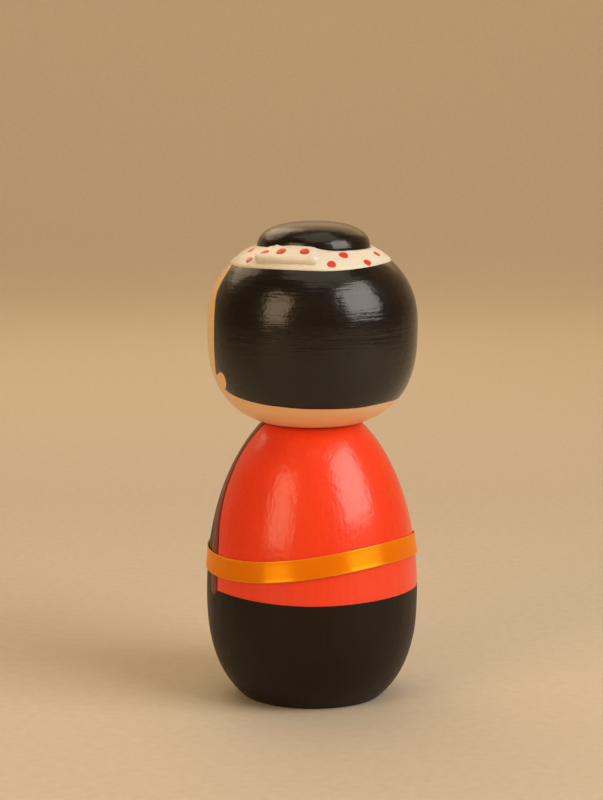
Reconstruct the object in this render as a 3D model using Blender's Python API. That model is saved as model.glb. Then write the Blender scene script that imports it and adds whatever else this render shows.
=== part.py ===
"""Kokeshi doll: a turned wooden body and a separate turned head that sits on a dowel, with a bun
pegged to its crown, a modelled headband and a satin ribbon tied round the body as an obi.

Metres, +Z up. The origin is the centre of the flat base, and the doll faces -Y."""

import math

import bmesh
import bpy
from mathutils import Vector

MM = 0.001
GAP = 0.3 * MM                    # left between pieces that touch
FRONT = math.radians(-90)         # direction the doll faces
AROUND = 60                       # steps in a full turn of the large rounds
AROUND_DOWEL = 30

# Body: an egg cut flat at the foot and at the neck
BODY_WIDEST_Z = 33.6 * MM
NECK_Z = 83.8 * MM

# Head: a flattened ball with a flat seat below and another on its crown
HEAD_WIDEST_Z = 114.2 * MM
HEAD_SEAT_Z = NECK_Z + GAP
CROWN_Z = 136.8 * MM

# Bun: a low dome, widest where it meets the crown, whose top is the doll's full height
BUN_WIDEST_Z = CROWN_Z
BUN_SEAT_Z = CROWN_Z + GAP
TOTAL_HEIGHT = 144.6 * MM

# Dowels: half of each is in either piece
NECK_DOWEL_RADIUS = 5.0 * MM
NECK_DOWEL_DEPTH = 16.0 * MM
BUN_PEG_RADIUS = 2.5 * MM
BUN_PEG_DEPTH = 3.6 * MM

# Obi: quarter-inch ribbon that slants, highest over the doll's left shoulder blade
RIBBON_WIDTH = 6.3 * MM
RIBBON_THICKNESS = 0.4 * MM
RIBBON_MIDDLE_Z = 44.65 * MM
RIBBON_SLANT = 1.95 * MM
RIBBON_HIGH_AT = math.radians(121)
RIBBON_DIP = 1.4 * MM
RIBBON_DIP_AT = math.radians(105)

# Bow at the front, measured across, up and out from the body's surface
BOW_KNOT_HALF_WIDTH = 2.6 * MM
BOW_LOOP_REACH = 12.4 * MM
BOW_PROUD = 3.7 * MM
BOW_TAIL_DROP = 16.0 * MM

# Headband: a thin collar on the crown, and the rolled knot laid along it at the doll's left
HEADBAND_RADIUS = 24.7 * MM
HEADBAND_LIP_Z = 138.3 * MM
HEADBAND_LIFT = 0.45 * MM
HEADBAND_THICKNESS = 0.5 * MM
BAND_KNOT_FROM = math.radians(6)
BAND_KNOT_TO = math.radians(60)
BAND_KNOT_OUTER_RADIUS = 23.9 * MM
BAND_KNOT_INNER_RADIUS = 18.3 * MM
BAND_KNOT_HEIGHT = 2.2 * MM

BEVEL = 0.4 * MM


class Turning:
    """A turned round: two half superellipses that meet at the widest ring, at height 0."""

    def __init__(self, radius, rise, rise_power, drop, drop_power):
        self.radius = radius
        self.above = (rise, rise_power)
        self.below = (drop, drop_power)

    def half(self, height):
        return self.above if height >= 0 else self.below

    def radius_at(self, height):
        reach, power = self.half(height)
        return self.radius * (1 - abs(height / reach) ** power) ** (1 / power)

    def top_at(self, radius):
        reach, power = self.above
        return reach * (1 - (radius / self.radius) ** power) ** (1 / power)

    def turn_angle(self, height):
        reach, power = self.half(height)
        return math.copysign(math.asin(abs(height / reach) ** (power / 2)), height)

    def outline(self, low, high, steps):
        """Points (radius, height) up the outer side, closest together where it curves most."""
        first = self.turn_angle(low)
        last = self.turn_angle(high)
        points = []
        for i in range(steps + 1):
            angle = first + (last - first) * i / steps
            reach, power = self.half(angle)
            across = self.radius * math.cos(angle) ** (2 / power)
            up = math.copysign(reach * abs(math.sin(angle)) ** (2 / power), angle)
            points.append((across, up))
        return points


BODY = Turning(32.3 * MM, 56.8 * MM, 1.98, 39.5 * MM, 2.6)
HEAD = Turning(31.9 * MM, 26.2 * MM, 2.18, 31.6 * MM, 2.73)
BUN = Turning(17.05 * MM, TOTAL_HEIGHT - BUN_WIDEST_Z, 2.42, 4.0 * MM, 2.0)


def from_hex(value):
    """A linear RGBA colour from an sRGB hex value."""
    channels = [int(value[i:i + 2], 16) / 255 for i in (0, 2, 4)]
    linear = [c / 12.92 if c <= 0.04045 else ((c + 0.055) / 1.055) ** 2.4 for c in channels]
    return (*linear, 1.0)


def finish(name, colour, roughness):
    material = bpy.data.materials.new(name)
    material.use_nodes = True
    shader = material.node_tree.nodes["Principled BSDF"]
    shader.inputs["Base Color"].default_value = from_hex(colour)
    shader.inputs["Roughness"].default_value = roughness
    shader.inputs["Metallic"].default_value = 0.0
    return material


def add_piece(name, bm, material, parent, height=0.0):
    """Turn a bmesh into a named object whose origin is at the given height on the doll's axis."""
    bmesh.ops.recalc_face_normals(bm, faces=bm.faces)
    mesh = bpy.data.meshes.new(name)
    bm.to_mesh(mesh)
    bm.free()
    mesh.materials.append(material)
    mesh.shade_smooth()
    mesh.set_sharp_from_angle(angle=math.radians(35))
    piece = bpy.data.objects.new(name, mesh)
    bpy.context.scene.collection.objects.link(piece)
    piece.parent = parent
    base = parent.matrix_world.translation.z if parent else 0.0
    piece.location.z = height - base
    return piece


def soften_edges(piece, width=BEVEL):
    bevel = piece.modifiers.new("softened edges", "BEVEL")
    bevel.width = width
    bevel.segments = 2
    bevel.limit_method = "ANGLE"
    bevel.angle_limit = math.radians(50)


def turned(profile, closed=False, steps=AROUND):
    """Spin a profile of (radius, height) points round the axis into a closed skin."""
    bm = bmesh.new()
    verts = [bm.verts.new((radius, 0.0, height)) for radius, height in profile]
    pairs = list(zip(verts, verts[1:]))
    if closed:
        pairs.append((verts[-1], verts[0]))
    edges = [bm.edges.new(pair) for pair in pairs]
    bmesh.ops.spin(bm, geom=verts + edges, cent=(0, 0, 0), axis=(0, 0, 1), angle=math.tau,
                   steps=steps, use_merge=True)
    bmesh.ops.remove_doubles(bm, verts=bm.verts, dist=0.001 * MM)
    return bm


def lofted(sections, closed=False):
    """Skin a row of equal rings of points, and cap its two ends unless it closes on itself."""
    bm = bmesh.new()
    rings = [[bm.verts.new(point) for point in section] for section in sections]
    following = rings[1:] + rings[:1] if closed else rings[1:]
    for ring, nxt in zip(rings, following):
        for i in range(len(ring)):
            j = (i + 1) % len(ring)
            bm.faces.new((ring[i], ring[j], nxt[j], nxt[i]))
    if not closed:
        bm.faces.new(reversed(rings[0]))
        bm.faces.new(rings[-1])
    return bm


def dowel(radius, half_length):
    profile = [(0, -half_length), (radius, -half_length), (radius, half_length), (0, half_length)]
    return turned(profile, steps=AROUND_DOWEL)


def on_body(angle, height, proud):
    """A point at an angle and a height, standing proud of the body's surface."""
    radius = BODY.radius_at(height - BODY_WIDEST_Z) + proud
    return Vector((radius * math.cos(angle), radius * math.sin(angle), height))


def ribbon_height(angle):
    return (RIBBON_MIDDLE_Z + RIBBON_SLANT * math.cos(angle - RIBBON_HIGH_AT)
            + RIBBON_DIP * math.cos(2 * (angle - RIBBON_DIP_AT)))


def add_torso(material):
    floor = -BODY_WIDEST_Z
    top = NECK_Z - BODY_WIDEST_Z
    bore = NECK_DOWEL_RADIUS + GAP
    bore_end = top - NECK_DOWEL_DEPTH - GAP
    profile = [(0, floor)] + BODY.outline(floor, top, 16)
    profile += [(bore, top), (bore, bore_end), (0, bore_end)]
    torso = add_piece("torso", turned(profile), material, None, BODY_WIDEST_Z)
    soften_edges(torso)
    return torso


def add_head(material, axis):
    low = HEAD_SEAT_Z - HEAD_WIDEST_Z
    high = CROWN_Z - HEAD_WIDEST_Z
    bore = NECK_DOWEL_RADIUS + GAP
    bore_end = low + NECK_DOWEL_DEPTH
    peg_bore = BUN_PEG_RADIUS + GAP
    peg_end = high - BUN_PEG_DEPTH - GAP
    profile = [(0, bore_end), (bore, bore_end), (bore, low)] + HEAD.outline(low, high, 14)
    profile += [(peg_bore, high), (peg_bore, peg_end), (0, peg_end)]
    head = add_piece("head", turned(profile), material, axis, HEAD_WIDEST_Z)
    soften_edges(head)


def add_bun(material, axis):
    low = BUN_SEAT_Z - BUN_WIDEST_Z
    bore = BUN_PEG_RADIUS + GAP
    bore_end = low + BUN_PEG_DEPTH
    profile = [(0, bore_end), (bore, bore_end), (bore, low)]
    profile += BUN.outline(low, TOTAL_HEIGHT - BUN_WIDEST_Z, 8)
    add_piece("hair_bun", turned(profile), material, axis, BUN_WIDEST_Z)


def add_dowels(material, torso, axis):
    neck = dowel(NECK_DOWEL_RADIUS, NECK_DOWEL_DEPTH)
    soften_edges(add_piece("neck_dowel", neck, material, torso, NECK_Z))
    peg = dowel(BUN_PEG_RADIUS, BUN_PEG_DEPTH)
    soften_edges(add_piece("bun_peg", peg, material, axis, CROWN_Z))


def add_ribbon(material, torso):
    half = RIBBON_WIDTH / 2
    sections = []
    for i in range(AROUND):
        angle = math.tau * i / AROUND
        middle = ribbon_height(angle)
        inner = [on_body(angle, middle + rise, GAP) for rise in (-half, 0, half)]
        outer = [on_body(angle, middle + rise, GAP + RIBBON_THICKNESS) for rise in (half, 0, -half)]
        sections.append(inner + outer)
    add_piece("obi_ribbon", lofted(sections, closed=True), material, torso)


def bow_section(across, half_height, low, high):
    """A six-sided section of the bow, across the ribbon at one side of the knot."""
    angle = FRONT + across / BODY.radius
    middle = ribbon_height(FRONT)
    shape = [(-1, 0.5), (-0.7, 0), (0.7, 0), (1, 0.5), (0.7, 1), (-0.7, 1)]
    return [on_body(angle, middle + rise * half_height, low + (high - low) * out) for rise, out in shape]


def add_bow(material, torso):
    """A knot, two loops and two tails, which stand for the tied ends of the ribbon."""
    under = 2 * GAP + RIBBON_THICKNESS
    knot = [(-1, 2.4 * MM, 0.75), (-0.6, 3.2 * MM, 1), (0.6, 3.2 * MM, 1), (1, 2.4 * MM, 0.75)]
    sections = [bow_section(at * BOW_KNOT_HALF_WIDTH, half, under, BOW_PROUD * out) for at, half, out in knot]
    add_piece("bow_knot", lofted(sections), material, torso)

    start = BOW_KNOT_HALF_WIDTH + GAP
    loop = [(0, 1.9 * MM, 0.7), (0.3, 3.0 * MM, 0.9), (0.6, 3.7 * MM, 0.95), (0.85, 3.4 * MM, 0.85),
            (1, 2.3 * MM, 0.65)]
    tail = [(1.7 * MM, 0, 1.1 * MM), (2.5 * MM, 0.25, 2.2 * MM), (3.9 * MM, 0.6, RIBBON_WIDTH / 2),
            (5.2 * MM, 1, RIBBON_WIDTH / 2)]
    tail_top = ribbon_height(FRONT) - RIBBON_WIDTH / 2 - 2 * GAP
    for side, word in ((-1, "right"), (1, "left")):
        sections = []
        for at, half, out in loop:
            across = side * (start + (BOW_LOOP_REACH - start) * at)
            sections.append(bow_section(across, half, under, BOW_PROUD * out))
        add_piece(f"bow_loop_{word}", lofted(sections), material, torso)
        sections = []
        for across, drop, half in tail:
            height = tail_top - BOW_TAIL_DROP * drop
            angles = [FRONT + (side * across + shift) / BODY.radius for shift in (-half, 0, half)]
            inner = [on_body(angle, height, GAP) for angle in angles]
            outer = [on_body(angle, height, GAP + RIBBON_THICKNESS) for angle in reversed(angles)]
            sections.append(inner + outer)
        add_piece(f"bow_tail_{word}", lofted(sections), material, torso)


def crown_height(radius):
    """Height of the head's surface, on its upper half, at a radius."""
    return HEAD_WIDEST_Z + HEAD.top_at(radius)


def add_headband(material, axis):
    lip = BUN.radius + GAP
    steps = 5
    radii = [HEADBAND_RADIUS + (lip - HEADBAND_RADIUS) * i / steps for i in range(steps + 1)]
    under = [(radius, crown_height(radius) + HEADBAND_LIFT) for radius in radii]
    over = [(radius, height + HEADBAND_THICKNESS) for radius, height in reversed(under)]
    profile = under + [(lip, HEADBAND_LIP_Z)] + over[1:]
    profile = [(radius, height - CROWN_Z) for radius, height in profile]
    add_piece("headband", turned(profile, closed=True), material, axis, CROWN_Z)


def add_band_knot(material, axis):
    """A roll that follows the headband, thicker at both ends."""
    steps = 12
    band_top = HEADBAND_LIFT + HEADBAND_THICKNESS + GAP
    sections = []
    for i in range(steps + 1):
        along = i / steps
        angle = BAND_KNOT_FROM + (BAND_KNOT_TO - BAND_KNOT_FROM) * along
        swell = 0.85 + 0.15 * abs(2 * along - 1)
        if i in (0, steps):
            swell *= 0.8
        outer = BAND_KNOT_OUTER_RADIUS
        inner = BAND_KNOT_INNER_RADIUS
        shape = [(outer, 0), (outer, 0.7), (outer - 0.8 * MM, 1), (inner + 0.8 * MM, 1), (inner, 0.6), (inner, 0)]
        section = []
        for radius, rise in shape:
            height = crown_height(radius) + band_top + rise * BAND_KNOT_HEIGHT * swell - CROWN_Z
            section.append(Vector((radius * math.cos(angle), radius * math.sin(angle), height)))
        sections.append(section)
    add_piece("headband_knot", lofted(sections), material, axis, CROWN_Z)


def main():
    for item in list(bpy.data.objects):
        bpy.data.objects.remove(item)
    red = finish("red lacquer", "E8391A", 0.35)
    skin = finish("skin paint", "E9C58C", 0.5)
    black = finish("black lacquer", "2A1D14", 0.3)
    wood = finish("bare wood", "D9B98A", 0.7)
    white = finish("white paste", "ECE4CF", 0.45)
    satin = finish("orange satin", "E07000", 0.4)

    torso = add_torso(red)
    bpy.context.view_layer.update()
    head_axis = bpy.data.objects.new("head_turn_axis", None)
    bpy.context.scene.collection.objects.link(head_axis)
    head_axis.location.z = NECK_Z
    bpy.context.view_layer.update()

    add_head(skin, head_axis)
    add_bun(black, head_axis)
    add_dowels(wood, torso, head_axis)
    add_headband(white, head_axis)
    add_band_knot(white, head_axis)
    add_ribbon(satin, torso)
    add_bow(satin, torso)


main()
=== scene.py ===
"""The finish of a painted kokeshi doll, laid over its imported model. Metres, +Z up, the doll faces -Y.

Angles round the doll are degrees from its front towards its own left, so its back is at 180.
Paint outlines give such an angle and a height in millimetres."""

import math

import bmesh
import bpy
import numpy as np
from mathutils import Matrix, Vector, kdtree, noise
from mathutils.bvhtree import BVHTree
from mathutils.geometry import delaunay_2d_cdt


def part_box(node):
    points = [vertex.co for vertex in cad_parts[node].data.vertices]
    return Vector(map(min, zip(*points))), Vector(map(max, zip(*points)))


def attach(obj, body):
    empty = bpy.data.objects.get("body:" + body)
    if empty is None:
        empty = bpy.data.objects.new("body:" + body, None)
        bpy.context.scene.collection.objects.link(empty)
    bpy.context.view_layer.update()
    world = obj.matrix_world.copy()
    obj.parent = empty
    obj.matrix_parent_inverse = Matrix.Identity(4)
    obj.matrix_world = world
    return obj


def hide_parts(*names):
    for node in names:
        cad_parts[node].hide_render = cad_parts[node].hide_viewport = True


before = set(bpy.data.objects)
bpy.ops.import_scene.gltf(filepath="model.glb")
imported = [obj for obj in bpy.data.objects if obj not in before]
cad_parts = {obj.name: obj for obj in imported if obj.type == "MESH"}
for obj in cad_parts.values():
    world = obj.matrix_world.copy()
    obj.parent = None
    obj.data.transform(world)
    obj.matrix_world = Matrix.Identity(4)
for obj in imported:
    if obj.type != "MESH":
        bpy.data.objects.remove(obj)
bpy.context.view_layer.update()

MM = 0.001
CAMERA_SIDE = 145                 # the doll is seen from behind its left shoulder
CAMERA_DISTANCE = 0.6923
CAMERA_HEIGHT = 0.1936
CAMERA_DOWN = 8.48
CAMERA_ASIDE = 0.267
CAMERA_LENS = 103.97

# ---------------------------------------------------------------- places, read from the frame
torso_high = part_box("torso")[1]
head_low, head_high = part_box("head")
bun_low, bun_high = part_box("hair_bun")

WOOD_INSET = 0.15 * MM            # the bare wood lies this far inside the painted size
BODY_RADIUS = torso_high.x - WOOD_INSET
BODY_WIDEST_Z = 33.6 * MM
NECK_Z = torso_high.z
HEAD_RADIUS = head_high.x - WOOD_INSET
HEAD_WIDEST_Z = 114.2 * MM
CROWN_Z = head_high.z - WOOD_INSET
BUN_RADIUS = bun_high.x
BUN_WIDEST_Z = CROWN_Z
BUN_TOP_Z = bun_high.z
BUN_ASIDE = Vector((-0.33, 0.23, 0)) * MM     # it was glued on a little off the axis

NECK_LINE = (NECK_Z + 0.2 * MM) / MM          # paint runs a little over the neck's edge
RIBBON_WIDTH = 6.3 * MM
RIBBON_THICKNESS = 0.22 * MM
DOWEL_BORE = 5.3 * MM
DOWEL_DEPTH = 16.3 * MM
PEG_BORE = 2.8 * MM
PEG_DEPTH = 3.8 * MM
BURIED = -0.05 * MM               # a coat's underside is pressed into the wood, so no gap shows
HAIR_TOP = 133.4                  # the hair runs up under the headband
HAIR_COAT = 0.12 * MM
CLOTH_COAT = 0.12 * MM


def around(degrees):
    """The level direction at an angle from the doll's front."""
    angle = math.radians(degrees - 90)
    return Vector((math.cos(angle), math.sin(angle), 0))


# ---------------------------------------------------------------- turned wood
class Turning:
    """A turned surface: two half superellipses that meet at the widest ring, slightly uneven."""

    def __init__(self, radius, widest_z, above, below, wobble, centre=Vector()):
        self.centre = centre
        self.radius = radius
        self.widest_z = widest_z
        self.above = above
        self.below = below
        self.wobble = wobble

    def half(self, rise):
        return self.above if rise >= 0 else self.below

    def radius_at(self, z):
        reach, power = self.half(z - self.widest_z)
        share = min(abs(z - self.widest_z) / reach, 0.99999)
        return self.radius * (1 - share ** power) ** (1 / power)

    def at(self, degrees, z, lift=0.0):
        """A point of the surface, or one lifted off it along its normal."""
        step = 0.05 * MM
        slope = (self.radius_at(z + step) - self.radius_at(z - step)) / (2 * step)
        outward = (around(degrees) - Vector((0, 0, slope))).normalized()
        point = self.centre + around(degrees) * self.radius_at(z) + Vector((0, 0, z))
        return point + outward * (lift + self.wobble * noise.noise(point * 75))

    def heights(self, low, high, steps):
        """Heights from low to high, closest together where the outline turns in."""
        turn = []
        for z in (low, high):
            rise = z - self.widest_z
            reach, power = self.half(rise)
            turn.append(math.copysign(math.asin(abs(rise / reach) ** (power / 2)), rise))
        rises = []
        for i in range(steps + 1):
            angle = turn[0] + (turn[1] - turn[0]) * i / steps
            reach, power = self.half(angle)
            rises.append(math.copysign(reach * abs(math.sin(angle)) ** (2 / power), angle))
        return [self.widest_z + rise for rise in rises]


BODY = Turning(BODY_RADIUS, BODY_WIDEST_Z, (56.8 * MM, 1.98), (39.5 * MM, 2.6), 0.10 * MM)
HEAD = Turning(HEAD_RADIUS, HEAD_WIDEST_Z, (26.2 * MM, 2.18), (31.6 * MM, 2.73), 0.12 * MM)
BUN = Turning(BUN_RADIUS, BUN_WIDEST_Z, (BUN_TOP_Z - BUN_WIDEST_Z, 2.42), (4.0 * MM, 2.0), 0.10 * MM,
              BUN_ASIDE)


# ---------------------------------------------------------------- materials
def linear(value):
    """A linear RGBA colour from an sRGB hex value."""
    channels = [int(value[i:i + 2], 16) / 255 for i in (0, 2, 4)]
    return (*[c / 12.92 if c <= 0.04045 else ((c + 0.055) / 1.055) ** 2.4 for c in channels], 1.0)


def add_node(tree, kind, settings, inputs):
    """Add a node with its settings and links. An input is a value, or another node's output."""
    made = tree.nodes.new("ShaderNode" + kind)
    for key, value in settings.items():
        setattr(made, key, value)
    for key, value in inputs.items():
        if isinstance(value, bpy.types.NodeSocket):
            tree.links.new(value, made.inputs[key])
        else:
            made.inputs[key].default_value = value
    return made


def new_material(name):
    """A material with no nodes yet, and its tree."""
    material = bpy.data.materials.new(name)
    material.use_nodes = True
    material.node_tree.nodes.clear()
    return material, material.node_tree


def features(*sizes):
    """The scale of a pattern whose features have these sizes, in millimetres, along X, Y and Z."""
    return [1 / (size * MM) for size in sizes]


COLOURS = {"data_type": "RGBA"}   # a Mix node for colours: share 0, first 6, second 7, result 2
HAIR_RIDGES = {"round": features(16.67, 16.67, 1.0), "upright": features(1.111, 1.111, 22.22)}
PUDDLE = 2.38 * MM                # across a place where the varnish pooled
PATCH = 8.33 * MM                 # across a place where the colour is fuller
DENT = 2.38 * MM                  # across a fingertip's dent in the clay
SPECK = 3.333 * MM                # the table's specks are finer, and are drawn this far apart to show


def brushed_acrylic(name, colour, thin, strokes, coat, ridge, gloss=0.5):
    """Artist's acrylic laid on turned wood with a soft brush, then varnished.

    The hairs leave fine ridges along each stroke, and the colour is a little thinner between them.
    The varnish is smooth but wavy, so it mirrors a window with broken edges. The hairs' ridges are
    about 0.2 mm apart on the real doll, and are drawn 1 mm apart so that they show."""
    material, tree = new_material(name)
    where = add_node(tree, "TexCoord", {}, {}).outputs["Object"]
    laid = add_node(tree, "Mapping", {}, {"Vector": where, "Scale": HAIR_RIDGES[strokes]}).outputs[0]
    hairs = add_node(tree, "TexNoise", {}, {"Vector": laid, "Scale": 1.0, "Detail": 3.0,
                                            "Roughness": 0.55}).outputs[0]
    puddles = add_node(tree, "TexNoise", {}, {"Vector": where, "Scale": 1 / PUDDLE, "Detail": 2.0,
                                              "Roughness": 0.55}).outputs[0]
    patches = add_node(tree, "TexNoise", {}, {"Vector": where, "Scale": 1 / PATCH, "Detail": 2.0,
                                              "Roughness": 0.55}).outputs[0]
    between = add_node(tree, "MapRange", {}, {0: hairs, 1: 0.3, 2: 0.7, 3: 0.0, 4: 0.5}).outputs[0]
    full = add_node(tree, "MapRange", {}, {0: patches, 1: 0.3, 2: 0.7, 3: 0.0, 4: 0.5}).outputs[0]
    matt = add_node(tree, "MapRange", {}, {0: hairs, 1: 0.3, 2: 0.7, 3: 0.38, 4: 0.52}).outputs[0]
    coat_colour = add_node(tree, "Mix", COLOURS, {0: between, 6: linear(colour), 7: linear(thin)}).outputs[2]
    coat_colour = add_node(tree, "Mix", COLOURS, {0: full, 6: coat_colour, 7: linear(colour)}).outputs[2]
    fine = add_node(tree, "Bump", {}, {"Strength": 1.0, "Distance": ridge * MM, "Height": hairs}).outputs[0]
    broad = add_node(tree, "Bump", {}, {"Strength": 1.0, "Distance": 1.1 * ridge * MM, "Height": puddles,
                                        "Normal": fine}).outputs[0]
    shader = add_node(tree, "BsdfPrincipled", {}, {
        "Base Color": coat_colour, "Roughness": matt, "Normal": broad, "Coat Normal": broad, "IOR": 1.49,
        "Specular IOR Level": gloss, "Coat Weight": coat, "Coat Roughness": 0.19, "Coat IOR": 1.5})
    add_node(tree, "OutputMaterial", {}, {"Surface": shader.outputs[0]})
    return material


def cheek_paint():
    """Cream acrylic on the head, with a blush dabbed on both cheeks with a dry brush."""
    material = brushed_acrylic("skin_acrylic", "F2CB96", "E8BC82", "round", 0.3, 0.03)
    tree = material.node_tree
    shader = tree.nodes["Principled BSDF"]
    colour = shader.inputs["Base Color"].links[0].from_socket
    where = add_node(tree, "TexCoord", {}, {}).outputs["Object"]
    for side in (-1, 1):
        cheek = HEAD.at(side * 36, 105.1 * MM)
        away = add_node(tree, "VectorMath", {"operation": "DISTANCE"}, {0: where, 1: cheek}).outputs["Value"]
        blush = add_node(tree, "MapRange", {"interpolation_type": "SMOOTHSTEP"},
                         {0: away, 1: 1.5 * MM, 2: 6.0 * MM, 3: 0.55, 4: 0.0}).outputs[0]
        colour = add_node(tree, "Mix", COLOURS, {0: blush, 6: colour, 7: linear("E0705A")}).outputs[2]
    tree.links.new(colour, shader.inputs["Base Color"])
    return material


def satin_ribbon():
    """Polyester satin ribbon: long floats of yarn run along it over fine crosswise weft, and their streaks
    are painted a lighter, yellower orange as a painted sheen.

    The floats spread a light up and down the ribbon and keep it narrow along it. The weft's ribs are
    0.15 mm apart on the real ribbon, and are drawn 0.45 mm apart so that they show."""
    material, tree = new_material("orange_satin_ribbon")
    where = add_node(tree, "UVMap", {"uv_map": "weave"}, {}).outputs[0]
    yarns = []
    for scale, detail in ((features(0.4545, 11.1, 1000), 2.0), (features(8.333, 0.1923, 1000), 2.0),
                          (features(7.69, 16.67, 1000), 1.0)):
        laid = add_node(tree, "Mapping", {}, {"Vector": where, "Scale": scale}).outputs[0]
        yarns.append(add_node(tree, "TexNoise", {}, {"Vector": laid, "Scale": 1.0, "Detail": detail,
                                                     "Roughness": 0.55}).outputs[0])
    ribs, floats, folds = yarns
    ribbed = add_node(tree, "MapRange", {}, {0: ribs, 1: 0.3, 2: 0.7, 3: 0.0, 4: 0.3}).outputs[0]
    # painted sheen: the floats' streaks take a lighter, yellower orange, laid at random along the ribbon
    float_sheen = add_node(tree, "MapRange", {}, {0: floats, 1: 0.3, 2: 0.7, 3: 0.0, 4: 0.2}).outputs[0]
    matt = add_node(tree, "MapRange", {}, {0: floats, 1: 0.3, 2: 0.7, 3: 0.28, 4: 0.33}).outputs[0]
    across = add_node(tree, "SeparateXYZ", {}, {0: where}).outputs[1]
    reach = add_node(tree, "Math", {"operation": "ABSOLUTE"}, {0: across}).outputs[0]
    selvedge = add_node(tree, "MapRange", {}, {0: reach, 1: RIBBON_WIDTH / 2 - 0.42 * MM,
                                               2: RIBBON_WIDTH / 2 - 0.22 * MM, 3: 0.0, 4: 0.4}).outputs[0]
    colour = linear("FA7006")
    for share, yarn in ((ribbed, "EC6204"), (float_sheen, "FA8C08"), (selvedge, "F6A030")):
        colour = add_node(tree, "Mix", COLOURS, {0: share, 6: colour, 7: linear(yarn)}).outputs[2]
    fine = add_node(tree, "Bump", {}, {"Strength": 1.0, "Distance": 0.012 * MM, "Height": ribs}).outputs[0]
    soft = add_node(tree, "Bump", {}, {"Strength": 1.0, "Distance": 0.10 * MM, "Height": folds,
                                       "Normal": fine}).outputs[0]
    along = add_node(tree, "Tangent", {"direction_type": "UV_MAP", "uv_map": "weave"}, {}).outputs[0]
    shader = add_node(tree, "BsdfPrincipled", {}, {
        "Base Color": colour, "Roughness": matt, "Normal": soft, "Tangent": along, "Metallic": 0.1,
        "IOR": 2.1, "Specular IOR Level": 1.0, "Specular Tint": linear("FFE428"), "Anisotropic": 0.85,
        "Anisotropic Rotation": 0.25, "Sheen Weight": 0.15, "Sheen Roughness": 0.4,
        "Sheen Tint": linear("FFC860")})
    add_node(tree, "OutputMaterial", {}, {"Surface": shader.outputs[0]})
    return material


def modelled_clay():
    """Air-dry clay pressed on by hand and painted ivory: soft dents, a smooth satin face."""
    material, tree = new_material("ivory_painted_clay")
    where = add_node(tree, "TexCoord", {}, {}).outputs["Object"]
    dents = add_node(tree, "TexNoise", {}, {"Vector": where, "Scale": 1 / DENT, "Detail": 3.0,
                                            "Roughness": 0.55}).outputs[0]
    laid = add_node(tree, "Mapping", {}, {"Vector": where, "Scale": features(1.111, 1.111, 4.0)}).outputs[0]
    strokes = add_node(tree, "TexNoise", {}, {"Vector": laid, "Scale": 1.0, "Detail": 2.0,
                                              "Roughness": 0.55}).outputs[0]
    worn = add_node(tree, "MapRange", {}, {0: dents, 1: 0.3, 2: 0.7, 3: 0.0, 4: 0.6}).outputs[0]
    satin = add_node(tree, "MapRange", {}, {0: strokes, 1: 0.3, 2: 0.7, 3: 0.34, 4: 0.5}).outputs[0]
    colour = add_node(tree, "Mix", COLOURS, {0: worn, 6: linear("E6E2D5"), 7: linear("DAD3C0")}).outputs[2]
    soft = add_node(tree, "Bump", {}, {"Strength": 1.0, "Distance": 0.10 * MM, "Height": dents}).outputs[0]
    fine = add_node(tree, "Bump", {}, {"Strength": 1.0, "Distance": 0.02 * MM, "Height": strokes,
                                       "Normal": soft}).outputs[0]
    shader = add_node(tree, "BsdfPrincipled", {}, {
        "Base Color": colour, "Roughness": satin, "Normal": fine, "IOR": 1.5, "Coat Weight": 0.15,
        "Coat Roughness": 0.2})
    add_node(tree, "OutputMaterial", {}, {"Surface": shader.outputs[0]})
    return material


def sanded_dowel():
    """Ramin dowel, sanded and unpainted: straight fine pores along its length."""
    material, tree = new_material("sanded_dowel")
    where = add_node(tree, "TexCoord", {}, {}).outputs["Object"]
    laid = add_node(tree, "Mapping", {}, {"Vector": where, "Scale": features(0.556, 0.556, 11.1)}).outputs[0]
    pores = add_node(tree, "TexNoise", {}, {"Vector": laid, "Scale": 1.0, "Detail": 4.0,
                                            "Roughness": 0.55}).outputs[0]
    dark = add_node(tree, "MapRange", {}, {0: pores, 1: 0.3, 2: 0.7, 3: 0.0, 4: 1.0}).outputs[0]
    colour = add_node(tree, "Mix", COLOURS, {0: dark, 6: linear("E0C294"), 7: linear("B98F5A")}).outputs[2]
    open_pores = add_node(tree, "Bump", {}, {"Strength": 1.0, "Distance": 0.03 * MM, "Height": pores})
    shader = add_node(tree, "BsdfPrincipled", {}, {"Base Color": colour, "Normal": open_pores.outputs[0],
                                                   "IOR": 1.5, "Roughness": 0.7})
    add_node(tree, "OutputMaterial", {}, {"Surface": shader.outputs[0]})
    return material


def matt_table():
    """A pale table top with a matt paint: no gloss, and a faint speck."""
    material, tree = new_material("pale_table")
    where = add_node(tree, "TexCoord", {}, {}).outputs["Object"]
    speck = add_node(tree, "TexNoise", {}, {"Vector": where, "Scale": 1 / SPECK, "Detail": 2.0,
                                            "Roughness": 0.55}).outputs[0]
    share = add_node(tree, "MapRange", {}, {0: speck, 1: 0.3, 2: 0.7, 3: 0.0, 4: 1.0}).outputs[0]
    colour = add_node(tree, "Mix", COLOURS, {0: share, 6: linear("CFC4B2"), 7: linear("C9BDAA")}).outputs[2]
    shader = add_node(tree, "BsdfPrincipled", {}, {"Base Color": colour, "Roughness": 0.6})
    add_node(tree, "OutputMaterial", {}, {"Surface": shader.outputs[0]})
    return material


# ---------------------------------------------------------------- meshes
def add_object(name, points, faces, material):
    mesh = bpy.data.meshes.new(name)
    mesh.from_pydata(points, [], faces)
    mesh.materials.append(material)
    mesh.shade_smooth()
    made = bpy.data.objects.new(name, mesh)
    bpy.context.scene.collection.objects.link(made)
    return made


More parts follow.
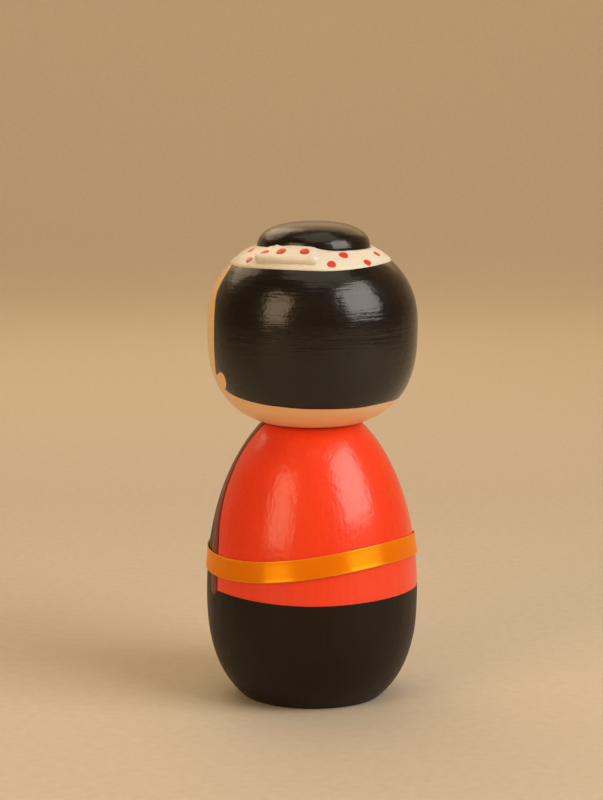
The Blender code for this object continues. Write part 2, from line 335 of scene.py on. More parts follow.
def add_piece(name, points, faces, material, body, slot, stands_for=(), sharp=None):
    """A closed mesh as a piece of the doll that rides on one of its bodies.

    Its edges look sharp where they turn by more degrees than sharp."""
    piece = add_object(name, points, faces, material)
    outward = bmesh.new()
    outward.from_mesh(piece.data)
    bmesh.ops.recalc_face_normals(outward, faces=outward.faces)
    outward.to_mesh(piece.data)
    outward.free()
    if sharp:
        piece.data.set_sharp_from_angle(angle=math.radians(sharp))
    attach(piece, body)
    if stands_for:
        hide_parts(*stands_for)
    return piece


def lofted(rings, closed=False):
    """Points and faces of a skin over a row of equal rings, capped at both ends unless it closes."""
    size = len(rings[0])
    points = [point for ring in rings for point in ring]
    faces = []
    for i in range(len(rings) if closed else len(rings) - 1):
        here = i * size
        following = (i + 1) % len(rings) * size
        for j in range(size):
            k = (j + 1) % size
            faces.append((here + j, here + k, following + k, following + j))
    if not closed:
        faces.append(tuple(reversed(range(size))))
        faces.append(tuple(range(len(points) - size, len(points))))
    return points, faces


def level_ring(radius, z, steps):
    angles = [math.tau * i / steps - math.pi / 2 for i in range(steps)]
    return [Vector((radius * math.cos(a), radius * math.sin(a), z)) for a in angles]


def smooth_line(points, step=0.3, closed=False):
    """Points about a step apart on a smooth curve through the given ones."""
    corners = np.array(points, float)
    if closed:
        padded = np.vstack([corners[-1], corners, corners[:2]])
    else:
        padded = np.vstack([2 * corners[0] - corners[1], corners, 2 * corners[-1] - corners[-2]])
    dense = []
    for a, b, c, d in zip(padded, padded[1:], padded[2:], padded[3:]):
        for t in np.linspace(0, 1, 24, endpoint=False):
            dense.append(0.5 * (2 * b + (c - a) * t + (2 * a - 5 * b + 4 * c - d) * t ** 2
                                + (3 * b - a - 3 * c + d) * t ** 3))
    dense.append(padded[-2])
    dense = np.array(dense)
    run = np.concatenate([[0], np.cumsum(np.linalg.norm(np.diff(dense, axis=0), axis=1))])
    count = max(2, round(run[-1] / step))
    where = np.linspace(0, run[-1], count + 1)
    if closed:
        where = where[:-1]
    return np.stack([np.interp(where, run, dense[:, k]) for k in range(dense.shape[1])], 1)


def inside(outline, points):
    """Which points lie inside a closed outline."""
    x, y = points[:, 0], points[:, 1]
    result = np.zeros(len(points), bool)
    for (x0, y0), (x1, y1) in zip(outline, np.roll(outline, -1, axis=0)):
        if y0 != y1:
            crossing = (y0 > y) != (y1 > y)
            result ^= crossing & (x < (x1 - x0) * (y - y0) / (y1 - y0) + x0)
    return result


def mirrored(points):
    """The same line on the doll's other side, run the other way."""
    return [(360 - degrees, height) for degrees, height in reversed(points)]


def level_round(points, degrees):
    """A height read from a smooth closed row of (degrees, height)."""
    row = sorted(points)
    row = [(a - 360, b) for a, b in row] + row + [(a + 360, b) for a, b in row]
    after = next(i for i, (a, _) in enumerate(row) if a > degrees)
    (_, y0), (x1, y1), (x2, y2), (_, y3) = row[after - 2:after + 2]
    t = (degrees - x1) / (x2 - x1)
    return 0.5 * (2 * y1 + (y2 - y0) * t + (2 * y0 - 5 * y1 + 4 * y2 - y3) * t ** 2
                  + (3 * y1 - y0 - 3 * y2 + y3) * t ** 3) * MM


def laid_paint(name, surface, lines, thickness, material, body, slot, spacing=0.7, brush=None, edge=0.3):
    """A coat of thick paint laid on a turned surface, inside an outline of smooth lines.

    The coat is a closed skin: its top swells from nothing at the outline to its full thickness, and
    its underside is just under the wood's surface. Its points are about spacing apart, and those of
    its outline are edge apart, both in millimetres."""
    reach = math.radians(1) * surface.radius / MM
    flat_lines = []
    for line in lines:
        flat = [(degrees * reach, height) for degrees, height in line]
        flat_lines.append(smooth_line(flat, edge)[:-1] if len(flat) > 2 else
                          smooth_line([flat[0], *[np.mean(flat, axis=0)], flat[1]], edge)[:-1])
    outline = np.vstack(flat_lines)
    roll = min(0.14, thickness / MM * 1.2)
    along = np.roll(outline, -1, axis=0) - np.roll(outline, 1, axis=0)
    inward = np.stack([-along[:, 1], along[:, 0]], 1) / np.linalg.norm(along, axis=1)[:, None]
    inner = outline + inward * roll
    low, high = outline.min(0), outline.max(0)
    rows = np.arange(low[1], high[1], spacing * 0.866)
    grid = [(x, y) for n, y in enumerate(rows)
            for x in np.arange(low[0] + (n % 2) * spacing / 2, high[0], spacing)]
    rim = kdtree.KDTree(len(outline))
    for i, (x, y) in enumerate(outline):
        rim.insert((x, y, 0), i)
    rim.balance()
    loose = np.vstack([inner, np.array(grid).reshape(-1, 2)])
    loose = loose[inside(outline, loose)]
    clear = [rim.find((x, y, 0))[2] for x, y in loose]
    room = [0.7 * roll if n < len(inner) else 0.5 * spacing for n in range(len(loose))]
    keep = [p for p, away, least in zip(loose, clear, room) if away > least
            or 0.9 * roll < away < 1.1 * roll]
    flat = [Vector(p) for p in outline] + [Vector(p) for p in keep]
    places, _, faces, *_ = delaunay_2d_cdt(flat, [], [list(range(len(outline)))], 1, 1e-5)
    top = []
    under = []
    below = []                    # the point that lies under each one of the top
    for i, place in enumerate(places):
        away = rim.find((place.x, place.y, 0))[2]
        degrees, height = place.x / reach, place.y * MM
        if away < 0.01:           # on the outline, where the top meets the underside
            top.append(surface.at(degrees, height, BURIED))
            below.append(i)
            continue
        share = min(away / (2.2 * roll), 1.0)
        lift = thickness * math.sqrt(1 - (1 - share) ** 2)
        point = surface.at(degrees, height, lift)
        if brush:
            point = surface.at(degrees, height, lift + share * brush(point))
        top.append(point)
        below.append(len(places) + len(under))
        under.append(surface.at(degrees, height, BURIED))
    skin = [tuple(face) for face in faces] + [tuple(below[i] for i in reversed(face)) for face in faces]
    return add_piece(name, top + under, skin, material, body, slot)


def brush_round(point):
    """Ridges that a brush drawn round the doll leaves in thick paint."""
    stroke = noise.noise(Vector((point.x * 55, point.y * 55, point.z * 900)))
    lap = noise.noise(Vector((point.x * 90, point.y * 90, point.z * 260)))
    return (0.016 * stroke + 0.035 * lap) * MM


# ---------------------------------------------------------------- turned pieces
def add_torso(red):
    steps = 192
    floor = 0.1 * MM
    rings = [level_ring(2 * MM, floor, steps)]
    for z in BODY.heights(floor, NECK_Z, 110):
        rings.append([BODY.at(360 * i / steps, z) for i in range(steps)])
    rings += [level_ring(DOWEL_BORE, NECK_Z, steps), level_ring(DOWEL_BORE, NECK_Z - DOWEL_DEPTH, steps)]
    add_piece("turned_body", *lofted(rings), red, "torso", "red_paint", ["torso"], sharp=50)


HEM = [(82, 34.85), (95, 34.8), (112, 34.5), (130, 34.15), (149, 34.0), (178, 34.3), (205, 34.35),
       (235, 34.15), (278, 34.3), (320, 34.3), (360, 34.3), (400, 34.5)]
BEHIND_RIBBON = 43.4              # height where the skirt's paint meets the front panel's


def hem_height(degrees):
    """The hem of the red coat; in front, between the lapels, the black goes on up to the ribbon."""
    side = abs((degrees + 180) % 360 - 180)
    raised = min(max((79 - side) / 1.5, 0), 1)
    return (1 - raised) * level_round(HEM, degrees) + raised * (BEHIND_RIBBON + 0.4) * MM


def add_skirt(black):
    """Black paint from the hem down over the foot."""
    steps = 240
    thickness = 0.1 * MM
    foot = BODY.radius_at(0.2 * MM) - 0.4 * MM
    sections = []
    for i in range(steps):
        degrees = 360 * i / steps
        hem = hem_height(degrees)
        outer = [BODY.at(degrees, hem, BURIED)]
        for drop, share in ((0.05, 0.55), (0.14, 0.9), (0.3, 1.0)):
            outer.append(BODY.at(degrees, hem - drop * MM, thickness * share))
        for z in reversed(BODY.heights(0.2 * MM, hem - 0.6 * MM, 60)):
            outer.append(BODY.at(degrees, z, thickness))
        outer.append(around(degrees) * foot + Vector((0, 0, 0.02 * MM)))
        outer.append(around(degrees) * (foot - 0.5 * MM) + Vector((0, 0, 0.2 * MM)))
        inner = [BODY.at(degrees, z, BURIED) for z in BODY.heights(0.3 * MM, hem - 0.5 * MM, 12)]
        sections.append(outer + inner)
    add_piece("skirt_paint", *lofted(sections, closed=True), black, "torso", "black_paint")


def add_head(skin):
    steps = 192
    seat = head_low.z + WOOD_INSET
    rings = [level_ring(DOWEL_BORE, seat + DOWEL_DEPTH, steps), level_ring(DOWEL_BORE, seat, steps)]
    for z in HEAD.heights(seat, CROWN_Z, 96):
        rings.append([HEAD.at(360 * i / steps, z) for i in range(steps)])
    rings += [level_ring(PEG_BORE, CROWN_Z, steps), level_ring(PEG_BORE, CROWN_Z - PEG_DEPTH, steps)]
    add_piece("turned_head", *lofted(rings), skin, "head", "skin_paint", ["head"], sharp=50)


def add_bun(black):
    steps = 160
    seat = bun_low.z
    rings = [level_ring(PEG_BORE, seat + PEG_DEPTH, steps), level_ring(PEG_BORE, seat, steps)]
    for z in BUN.heights(seat, BUN_TOP_Z - 0.02 * MM, 44):
        ring = []
        for i in range(steps):
            point = BUN.at(360 * i / steps, z)
            ring.append(BUN.at(360 * i / steps, z, brush_round(point)))
        rings.append(ring)
    add_piece("painted_bun", *lofted(rings), black, "head", "black_paint", ["hair_bun"], sharp=60)


# ---------------------------------------------------------------- paint on the head
EAR = [(74.0, 99.9), (75.4, 99.4), (78.6, 100.2), (82.0, 100.6), (84.7, 100.4), (86.1, 99.4),
       (85.6, 97.9), (83.2, 96.4), (79.8, 95.4)]
HAIR_SIDE = [(66.0, HAIR_TOP), (67.5, 132), (70.6, 131.2), (72.3, 130), (73.4, 128.4), (73.9, 126.2),
             (74.0, 124.2), (75.6, 121.9), (77.6, 119.2), (78.5, 115), (78.1, 110.2), (77.3, 105.4),
             (75.8, 102.4), (74.0, 99.9)]
HAIR_NAPE = [(79.8, 95.4), (87.2, 94.1), (98.9, 93.1), (111.8, 92.4), (124.3, 92), (137.2, 91.6),
             (153.2, 91.4), (166.6, 91.3), (178, 91.35), (191, 91.65), (205, 91.8), (222, 91.8),
             (238, 92.1), (252, 92.6), (264, 93.4), (273, 94.1), (280.2, 95.4)]


def add_hair(black):
    top = [(294, HAIR_TOP), (180, HAIR_TOP), (66.0, HAIR_TOP)]
    back = [HAIR_NAPE, mirrored(EAR), mirrored(HAIR_SIDE), top, HAIR_SIDE, EAR]
    fringe = [(-41, HAIR_TOP), (-39.5, 128.5), (-35, 124.6), (-18, 123.2), (0, 122.9), (18, 123.2),
              (35, 124.6), (39.5, 128.5), (41, HAIR_TOP)]
    for name, lines in (("hair_paint", back), ("fringe_paint", [fringe, [fringe[-1], fringe[0]]])):
        laid_paint(name, HEAD, lines, HAIR_COAT, black, "head", "black_paint", 0.6, brush_round)


def add_stroke(name, middle, widths, black):
    """One brush stroke on the face along a line of (degrees, height), swelling to the widths given."""
    line = smooth_line(middle, 0.25)
    reach = math.radians(1) * HEAD.radius / MM
    flat = line * (reach, 1)
    along = np.gradient(flat, axis=0)
    side = np.stack([along[:, 1], -along[:, 0]], 1) / np.linalg.norm(along, axis=1)[:, None]
    width = np.interp(np.linspace(0, 1, len(line)), np.linspace(0, 1, len(widths)), widths)[:, None] / 2
    lower = (flat + side * width) / (reach, 1)
    upper = (flat - side * width) / (reach, 1)
    lines = [lower, [tuple(lower[-1]), tuple(upper[-1])], upper[::-1], [tuple(upper[0]), tuple(lower[0])]]
    laid_paint(name, HEAD, lines, 0.07 * MM, black, "head", "black_paint", 0.3, edge=0.2)


def add_face(black, rouge):
    for side, word in ((1, "left"), (-1, "right")):
        eye = [(14, 110.2), (18, 108.5), (23.5, 107.8), (29, 108.3), (33.5, 110)]
        brow = [(15.5, 118.2), (20, 119.5), (25.5, 119.8), (31, 118.8)]
        for part, line, widths in (("eye", eye, (0.25, 0.75, 0.95, 0.75, 0.25)),
                                   ("brow", brow, (0.2, 0.5, 0.5, 0.2))):
            placed = [(side * degrees, height) for degrees, height in line][::side]
            add_stroke(f"{part}_{word}", placed, widths, black)
    upper = [(4.6, 101), (2.6, 102.1), (0.9, 102.5), (0, 102.1), (-0.9, 102.5), (-2.6, 102.1), (-4.6, 101)]
    lower = [(-4.6, 101), (-2.6, 99.8), (0, 99.3), (2.6, 99.8), (4.6, 101)]
    laid_paint("mouth", HEAD, [lower, upper], 0.08 * MM, rouge, "head", "red_paint", 0.3, edge=0.2)


# ---------------------------------------------------------------- paint on the body
RED_EDGE = [(82.4, 34.2), (82.8, 36.9), (81.4, 43.6), (79.9, 49.2), (77.6, 52.6), (74.7, 57.4), (71.9, 62.6),
            (70.2, 68.3), (68.0, 73.1), (68.3, 77.6), (69.5, 81.1), (71.0, NECK_LINE)]
PANEL_EDGE = [(57.0, NECK_LINE), (56.2, 80.6), (56.0, 76.6), (56.4, 72.3), (57.8, 67.2), (61.0, 62),
              (64.2, 56.8), (67.3, 51.6), (69.7, 48.2), (72.6, 41.6), (74.3, 35.8), (74.6, 34.2)]
COLLAR = [(-24.0, 45.6), (-12.0, 51.8), (0.5, 58.8), (15.0, 66.2), (31.5, 74.6), (49.0, NECK_LINE)]
COLLAR_INSIDE = [(33.0, NECK_LINE), (19.0, 75.6), (5.0, 67.8), (-9.0, 60.2), (-20.0, 53.6), (-31.0, 46.8)]


def add_clothes(black, maroon, white, skin):
    under_lapel = [((a + c) / 2 - 1, (b + d) / 2)
                   for (a, b), (c, d) in zip(RED_EDGE[2:], PANEL_EDGE[:-2][::-1])]
    under_lapel = [(76, BEHIND_RIBBON), (75.5, 47.0)] + under_lapel[1:-1] + [(64, NECK_LINE)]
    under_other = [(-degrees, height) for degrees, height in under_lapel[::-1]]
    lines = [[(-76, BEHIND_RIBBON), (0, BEHIND_RIBBON), (76, BEHIND_RIBBON)], under_lapel,
             [(64, NECK_LINE), (0, NECK_LINE), (-64, NECK_LINE)], under_other]
    laid_paint("front_paint", BODY, lines, CLOTH_COAT, black, "torso", "black_paint", 0.9)
    neck = [[(-38, NECK_LINE), (0, 61.5)], [(0, 61.5), (38, NECK_LINE)], [(38, NECK_LINE), (-38, NECK_LINE)]]
    laid_paint("chest_paint", BODY, neck, 0.17 * MM, skin, "torso", "skin_paint", 0.6)
    for side, word, thickness in ((-1, "right", 0.22), (1, "left", 0.3)):
        strip = [PANEL_EDGE, [(74.6, 34.2), (76.4, 33.35), (80.2, 33.2), (82.4, 34.2)], RED_EDGE,
                 [RED_EDGE[-1], PANEL_EDGE[0]]]
        outside, within = COLLAR, COLLAR_INSIDE
        if side < 0:
            outside, within = COLLAR[2:], COLLAR_INSIDE[:3] + [(-2.0, 64.0)]
        collar = [outside, [outside[-1], within[0]], within, [within[-1], outside[0]]]
        if side < 0:
            strip, collar = [[[(-a, b) for a, b in reversed(line)] for line in reversed(shape)]
                             for shape in (strip, collar)]
        laid_paint(f"lapel_{word}_paint", BODY, strip, 0.2 * MM, maroon, "torso", "red_paint", 0.6)
        laid_paint(f"collar_{word}_paint", BODY, collar, thickness * MM, white, "torso", "white_clay", 0.6)


# ---------------------------------------------------------------- headband
BAND_EDGE = [(-75, 132.6), (-35, 132.35), (0, 132.2), (35, 132.2), (60, 131.95), (78, 131.85), (95, 131.9),
             (114, 132.0), (134, 131.95), (155, 131.72), (170, 131.88), (185, 132.25), (203, 132.65),
             (225, 132.8), (255, 132.75)]
BUN_WALL = [(-75, 137.2), (-30, 137.1), (15, 137.1), (55, 137.3), (80, 137.5), (98, 137.7), (103, 138.3),
            (107, 138.55), (111, 138.3), (122, 138.5), (142, 138.3), (152, 137.5), (165, 136.95),
            (185, 136.85), (210, 136.9), (245, 137.1)]
BAND_THICKNESS = 0.5 * MM


def on_crown(degrees, radius, lift):
    """A point over the head's upper half, at a radius."""
    reach, power = HEAD.above
    z = HEAD_WIDEST_Z + reach * (1 - (radius / HEAD.radius) ** power) ** (1 / power)
    return HEAD.at(degrees, z, lift)


def at_bun(degrees, radius, z):
    return BUN_ASIDE + around(degrees) * radius + Vector((0, 0, z))


def add_headband(clay):
    steps = 360
    wall = BUN.radius_at(bun_low.z) + 0.1 * MM
    sections = []
    for i in range(steps):
        degrees = 360 * i / steps - 75
        edge_radius = HEAD.radius_at(level_round(BAND_EDGE, degrees))
        top = level_round(BUN_WALL, degrees)
        outer = []
        for inward, share in ((-0.1, -0.3), (0, 0.25), (0.12, 0.62), (0.3, 0.88), (0.6, 1.0)):
            outer.append(on_crown(degrees, edge_radius - inward * MM, BAND_THICKNESS * share))
        flat_start = edge_radius - 0.6 * MM
        flat_end = wall + 1.0 * MM
        for k in range(1, 9):
            radius = flat_start + (flat_end - flat_start) * k / 8
            thickness = BAND_THICKNESS * (1 + 0.15 * noise.noise(Vector((degrees / 9, radius * 300, 0))))
            outer.append(on_crown(degrees, radius, thickness))
        last = outer[-1].z
        for inward, share in ((0.7, 0.35), (0.3, 0.8), (0.05, 1.0)):
            outer.append(at_bun(degrees, wall + inward * MM, last + (top - last) * share))
        outer.append(at_bun(degrees, wall - 0.35 * MM, top - 0.1 * MM))
        outer.append(at_bun(degrees, wall - 0.4 * MM, CROWN_Z - 0.3 * MM))
        radii = np.linspace(wall + 0.5 * MM, edge_radius - 0.2 * MM, 6)
        sections.append(outer + [on_crown(degrees, radius, -0.3 * MM) for radius in radii])
    return add_piece("clay_headband", *lofted(sections, closed=True), clay, "head", "white_clay",
                     ["headband"])


KNOT_FROM = 97.0                  # degrees
KNOT_TO = 151.0
KNOT_CORE = (21.2, 134.9)         # its section's points are (radius, height) in millimetres
KNOT_TOP = [(16.7, 136.6), (16.75, 137.9), (17.3, 138.15), (18.8, 137.75), (20.4, 137.1), (21.7, 136.45)]
KNOT_ROLL = [(22.6, 136.15), (23.35, 135.75), (23.85, 135.1), (23.85, 134.4), (23.35, 133.75), (22.4, 133.2)]
KNOT_BASE = [(20.0, 134.3), (18.0, 135.6)]


def add_band_knot(clay):
    """The knot: a flap of clay laid from the bun to the band, with its outer edge rolled under.

    The roll is thicker at both ends, where the clay was pinched."""
    steps = 72
    sections = []
    for i in range(steps + 1):
        share = 0.5 - 0.5 * math.cos(math.pi * i / steps)
        degrees = KNOT_FROM + (KNOT_TO - KNOT_FROM) * share
        from_end = min(share, 1 - share) * (KNOT_TO - KNOT_FROM)
        size = math.sqrt(max(1 - max(1 - from_end / 4.6, 0) ** 2, 0.002))
        pinch = math.exp(-((from_end - 6) / 3.5) ** 2)
        roll = [(r + 0.25 * pinch, z + (0.2 if z > 135 else -0.25) * pinch) for r, z in KNOT_ROLL]
        section = []
        for r, z in smooth_line(KNOT_TOP + roll + KNOT_BASE, 0.35, closed=True):
            dent = 0.07 * noise.noise(Vector((degrees / 7, r * 0.9, z * 0.9)))
            r = KNOT_CORE[0] + (r - KNOT_CORE[0]) * size + dent
            z = KNOT_CORE[1] + (z - KNOT_CORE[1]) * size + dent
            section.append(around(degrees) * r * MM + Vector((0, 0, z * MM)))
        sections.append(section)
    count = min(len(section) for section in sections)
    sections = [[section[round(k * len(section) / count) % len(section)] for k in range(count)]
                for section in sections]
    return add_piece("clay_band_knot", *lofted(sections), clay, "head", "white_clay", ["headband_knot"])


def add_dots(pieces, red):
    """Red dots, set down with the round end of a brush on the band and its knot."""
    depsgraph = bpy.context.evaluated_depsgraph_get()
    trees = [BVHTree.FromObject(piece, depsgraph) for piece in pieces]

    def dropped(point, down):
        hits = [tree.ray_cast(point - down * 20 * MM, down) for tree in trees]
        hits = [hit for hit in hits if hit[0] is not None]
        return min(hits, key=lambda hit: hit[3]) if hits else (None,) * 4

    spots = [(104.5, 20.9, 1.3), (118.6, 20.0, 1.4), (138.8, 19.8, 1.4), (90.5, 22.2, 1.3),
             (75.0, 18.9, 1.2), (158.9, 22.8, 1.5), (172.0, 19.7, 1.6), (188.9, 22.7, 1.4),
             (211.0, 20.4, 1.35), (249, 22.4, 1.35), (262, 19.8, 1.4), (276, 22.6, 1.45), (291, 20.2, 1.4),
             (307, 22.6, 1.4), (323, 20.0, 1.35), (339, 22.6, 1.4), (355, 20.2, 1.4), (371, 22.5, 1.4),
             (388, 20.1, 1.4), (402, 22.5, 1.35)]
    # each ring of a dot: its share of the dot's radius, and its height over the clay in millimetres
    rises = ((0.06, 0.16), (0.3, 0.16), (0.55, 0.145), (0.78, 0.115), (0.93, 0.065), (1.0, -0.06))
    for n, (degrees, radius, size) in enumerate(spots):
        tall = 1.35 if n in (1, 2) else 0.95     # these two, on the knot, run down its fold
        start = on_crown(degrees, radius * MM, 1 * MM)
        centre, normal, _, _ = dropped(start, Vector((0, 0, -1)))
        sideways = Vector((0, 0, 1)).cross(normal).normalized()
        upward = normal.cross(sideways)
        rings = []
        for reach, lift in rises:
            ring = []
            for k in range(28):
                turn = math.tau * k / 28
                wobble = 1.0 + 0.07 * math.sin(2 * turn + n) + 0.05 * math.sin(3 * turn + 2 * n)
                spot = centre + (sideways * math.cos(turn) + upward * math.sin(turn) * tall) * (
                    size * MM * reach * wobble)
                hit, face, _, _ = dropped(spot, -normal)
                hit = spot if hit is None or (hit - spot).length > 1.5 * MM else hit
                ring.append(hit + normal * lift * MM)
            rings.append(ring)
        for reach in (0.5, 0.06):
            rings.append([centre + (p - centre) * reach - normal * 0.12 * MM for p in rings[5]])
        add_piece(f"band_dot_{n + 1}", *lofted(rings), red, "head", "red_paint")


# ---------------------------------------------------------------- ribbon
def ribbon_height(degrees):
    """Height of the ribbon's middle line, which slants and dips as it goes round."""
    angle = math.radians(degrees - 90)
    return (44.65 + 1.95 * math.cos(angle - math.radians(121))
            + 1.4 * math.cos(2 * (angle - math.radians(105)))) * MM


def add_strip(name, stations, width_at, material, stands_for, thickness=RIBBON_THICKNESS, cut=0.0):
    """Ribbon along stations of (middle, direction across, outward normal), with a selvedge.

    A cut slants the far end, so that one corner is longer than the other by twice as much."""
    spots = (-1, -0.95, -0.89, -0.82, -0.5, 0, 0.5, 0.82, 0.89, 0.95, 1)
    rings = []
    weave = []
    run = 0.0
    last = len(stations) - 1
    for n, (middle, across, outward) in enumerate(stations):
        if n:
            run += (middle - stations[n - 1][0]).length
        half = width_at(n / last) / 2
        slant = cut * max(2.2 * n / last - 1.2, 0) ** 1.5
        along = outward.cross(across)
        face = []
        back = []
        for spot in spots:
            selvedge = 0.05 * MM if 0.84 < abs(spot) < 0.97 else 0.0
            at = middle + across * (spot * half) + along * (slant * spot)
            face.append(at + outward * (thickness / 2 + selvedge))
            back.append(at - outward * (thickness / 2))
        rings.append(face + back[::-1])
        row = [(run, spot * RIBBON_WIDTH / 2) for spot in spots]
        weave += row + row[::-1]
    piece = add_piece(name, *lofted(rings), material, "torso", "orange_satin", stands_for)
    layer = piece.data.uv_layers.new(name="weave")
    for loop in piece.data.loops:
        layer.data[loop.index].uv = weave[loop.vertex_index]
    return piece


def add_obi(satin):
    steps = 300
    stations = []
    for i in range(steps + 1):
        degrees = 1 + 358 * i / steps
        z = ribbon_height(degrees)
        wave = noise.noise(Vector((degrees / 13, 3.0, 0))) * 0.10 * MM
        upper = BODY.at(degrees, z + RIBBON_WIDTH / 2, 0.36 * MM + wave)
        lower = BODY.at(degrees, z - RIBBON_WIDTH / 2, 0.36 * MM - wave)
        middle = BODY.at(degrees, z, 0.42 * MM)
        across = (upper - lower).normalized()
        angle = math.radians(degrees - 90)
        tangent = Vector((-math.sin(angle), math.cos(angle), 0))
        stations.append((middle, across, tangent.cross(across).normalized()))
    add_strip("satin_obi", stations, lambda t: RIBBON_WIDTH, satin, ["obi_ribbon"])


def bow_place(across, rise, proud):
    """A point of the bow: across the front from the knot, up, and out from the body."""
    degrees = math.degrees(across * MM / BODY.radius)
    return BODY.at(degrees, ribbon_height(0) + rise * MM, proud * MM)


def stations_along(route, across, core, count=60):
    """Ribbon stations along a smooth route of (across, rise, proud), facing away from a core point."""
    line = smooth_line(route, 0.1)
    points = [bow_place(*line[round(i * (len(line) - 1) / (count - 1))]) for i in range(count)]
    stations = []
    for i, point in enumerate(points):
        along = (points[min(i + 1, count - 1)] - points[max(i - 1, 0)]).normalized()
        level = (across - along * across.dot(along)).normalized()
        outward = along.cross(level).normalized()
        stations.append((point, level, outward if outward.dot(point - core) > 0 else -outward))
    return stations


def add_bow(satin):
    """The ribbon's ends tied in a small bow: each loop is one closed turn of ribbon."""
    def loop_width(t):
        return RIBBON_WIDTH * (0.48 + 0.52 * math.sin(math.pi * t) ** 0.8)

    def tail_width(t):
        return RIBBON_WIDTH * min(0.92, 0.42 + 1.8 * t)

    for side, word in ((-1, "right"), (1, "left")):
        tip = Vector((-0.16 * side, 0, 1))
        route = [(1.0, 0.1, 1.2), (4.5, 0.2, 1.1), (8.5, 0.5, 0.95), (11.4, 0.9, 1.15), (12.5, 1.0, 1.95),
                 (11.5, 1.0, 2.85), (8.0, 0.8, 3.35), (4.0, 0.3, 3.0), (1.0, 0.1, 2.2)]
        route = [(side * across, rise, proud) for across, rise, proud in route]
        stations = stations_along(route, tip, bow_place(side * 8, 0.5, 2.0))
        add_strip(f"satin_loop_{word}", stations, loop_width, satin, [f"bow_loop_{word}"])
        lift = 0.25 if side > 0 else 0.0
        route = [(0.9, 0.8, 1.1 + lift), (1.9, -3.0, 0.75 + lift), (3.7, -8.0, 0.55), (5.0, -12.5, 0.7),
                 (5.8, -16.6, 0.95)]
        route = [(side * across, rise, proud) for across, rise, proud in route]
        inside_body = Vector((0, 0, ribbon_height(0) - 8 * MM))
        stations = stations_along(route, Vector((1, 0, 0)), inside_body, 44)
        add_strip(f"satin_tail_{word}", stations, tail_width, satin, [f"bow_tail_{word}"],
                  cut=side * 1.2 * MM)
    route = [(0, -3.3, 0.75), (0, -3.5, 1.9), (0, -2.5, 3.1), (0, 0, 3.6), (0, 2.5, 3.1), (0, 3.5, 1.9),
             (0, 3.3, 0.75)]
    stations = stations_along(route, Vector((1, 0, 0)), bow_place(0, 0, 1.5), 40)
    add_strip("satin_knot", stations, lambda t: 5.2 * MM, satin, ["bow_knot"], 0.45 * MM)


# ---------------------------------------------------------------- stage
def add_camera():
    angle = math.radians(CAMERA_SIDE - 90)
    camera = bpy.data.objects.new("camera", bpy.data.cameras.new("camera"))
    bpy.context.scene.collection.objects.link(camera)
    camera.location = (CAMERA_DISTANCE * math.cos(angle), CAMERA_DISTANCE * math.sin(angle), CAMERA_HEIGHT)
    heading = angle + math.pi + math.radians(CAMERA_ASIDE)
    down = math.radians(CAMERA_DOWN)
    looking = Vector((math.cos(heading), math.sin(heading), -math.tan(down))).normalized()
    camera.rotation_mode = "QUATERNION"
    camera.rotation_quaternion = looking.to_track_quat("-Z", "Y")
    camera.data.lens = CAMERA_LENS
    camera.data.clip_start = 0.01
    bpy.context.scene.camera = camera


def add_softbox(name, degrees, elevation, distance, width, height, watts, colour, outward=False):
    """A softbox at an angle from the doll's front and an elevation, aimed at it or at the backdrop."""
    light = bpy.data.lights.new(name, "AREA")
    light.shape = "RECTANGLE"
    light.size = width
    light.size_y = height
    light.energy = watts
    light.color = linear(colour)[:3]
    lamp = bpy.data.objects.new(name, light)
    bpy.context.scene.collection.objects.link(lamp)
    up = math.radians(elevation)
    away = around(degrees) * math.cos(up) + Vector((0, 0, math.sin(up)))
    aim = around(degrees) if outward else -away
    lamp.location = away * distance + Vector((0, 0, 0.09))
    lamp.rotation_mode = "QUATERNION"
    lamp.rotation_quaternion = aim.to_track_quat("-Z", "Y")


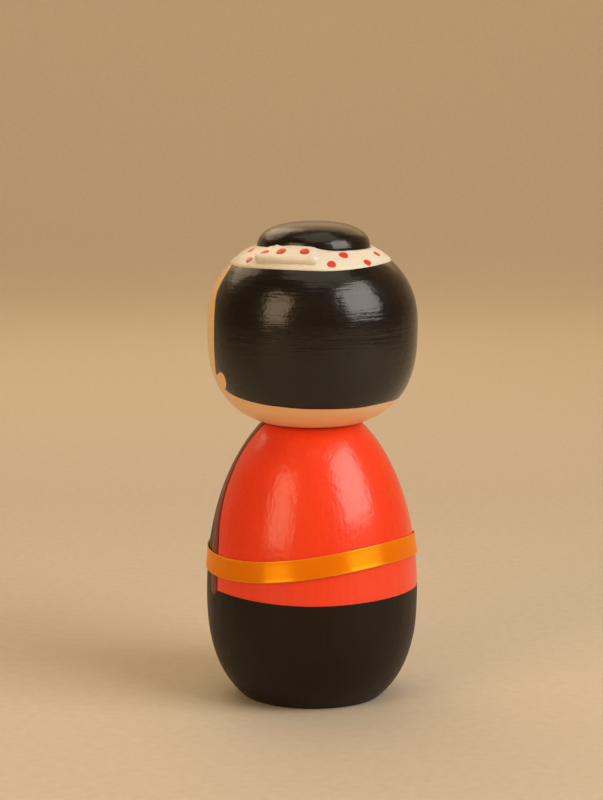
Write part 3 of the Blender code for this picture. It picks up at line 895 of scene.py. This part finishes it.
def add_stage():
    add_softbox("softbox_left", CAMERA_SIDE - 40, 23, 0.9, 0.42, 0.58, 2.8, "FFDCB0")
    add_softbox("softbox_right", CAMERA_SIDE + 60, 32, 0.9, 0.62, 0.64, 6.6, "FFF6EC")
    add_softbox("softbox_face", 3, 42, 0.9, 0.7, 0.5, 1.7, "FFE9CC")
    add_softbox("softbox_front", -35, 38, 1.1, 1.2, 0.8, 1.9, "FFD9A8")
    add_softbox("softbox_top", 180, 82, 1.1, 0.9, 0.9, 2.4, "FFF0DC")
    add_softbox("softbox_wall", CAMERA_SIDE + 180, 78, 1.5, 1.4, 0.7, 28, "FFE2BC", outward=True)
    add_softbox("softbox_behind", CAMERA_SIDE, 78, 1.5, 1.4, 0.7, 12, "FFE2BC", outward=True)
    world = bpy.data.worlds.new("studio")
    bpy.context.scene.world = world
    world.use_nodes = True
    background = world.node_tree.nodes["Background"]
    background.inputs["Color"].default_value = linear("EBC894")
    background.inputs["Strength"].default_value = 0.18
    # the table is flat round the doll, then curves up into a wall, so that no edge shows behind it
    flat = 1.2
    curve = 1.4
    sides = 96
    sweep = [(0.01, 0), (0.6, 0), (1.15, 0)]
    for degrees in range(0, 91, 5):
        turn = math.radians(degrees)
        sweep.append((flat + curve * math.sin(turn), curve - curve * math.cos(turn)))
    sweep.append((flat + curve, 3.0))
    points = [point for radius, z in sweep for point in level_ring(radius, z, sides)]
    faces = [tuple(range(sides))]
    for nearer in range(0, (len(sweep) - 1) * sides, sides):
        for k in range(sides):
            following = (k + 1) % sides
            faces.append((nearer + k, nearer + sides + k, nearer + sides + following, nearer + following))
    table = add_object("table", points, faces, matt_table())
    bpy.context.scene.view_settings.view_transform = "Standard"


def main():
    add_camera()
    add_stage()
    red = brushed_acrylic("red_acrylic", "F63E14", "E6320E", "upright", 0.8, 0.09, 0.2)
    hair = brushed_acrylic("hair_black_acrylic", "090502", "140C07", "round", 0.9, 0.1, 0.06)
    cloth_black = brushed_acrylic("skirt_black_acrylic", "170D07", "22150C", "upright", 0.05, 0.05, 0.22)
    maroon = brushed_acrylic("maroon_acrylic", "7A1E0A", "5A1406", "upright", 0.35, 0.06, 0.2)
    white = brushed_acrylic("collar_white_acrylic", "EFE6D2", "E2D6BC", "upright", 0.2, 0.03)
    dot_red = brushed_acrylic("dot_red_acrylic", "D6301C", "C42816", "round", 0.3, 0.02)
    rouge = brushed_acrylic("lip_red_acrylic", "C8342A", "B52C24", "round", 0.3, 0.02)
    skin = cheek_paint()
    clay = modelled_clay()
    satin = satin_ribbon()

    add_torso(red)
    add_skirt(cloth_black)
    add_clothes(cloth_black, maroon, white, skin)
    add_head(skin)
    add_hair(hair)
    add_face(hair, rouge)
    add_bun(hair)
    band = add_headband(clay)
    knot = add_band_knot(clay)
    bpy.context.view_layer.update()
    add_dots([band, knot], dot_red)
    add_obi(satin)
    add_bow(satin)
    for name in ("neck_dowel", "bun_peg"):
        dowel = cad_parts[name]
        dowel.data.materials.clear()
        dowel.data.materials.append(sanded_dowel())


main()
bpy.context.view_layer.update()
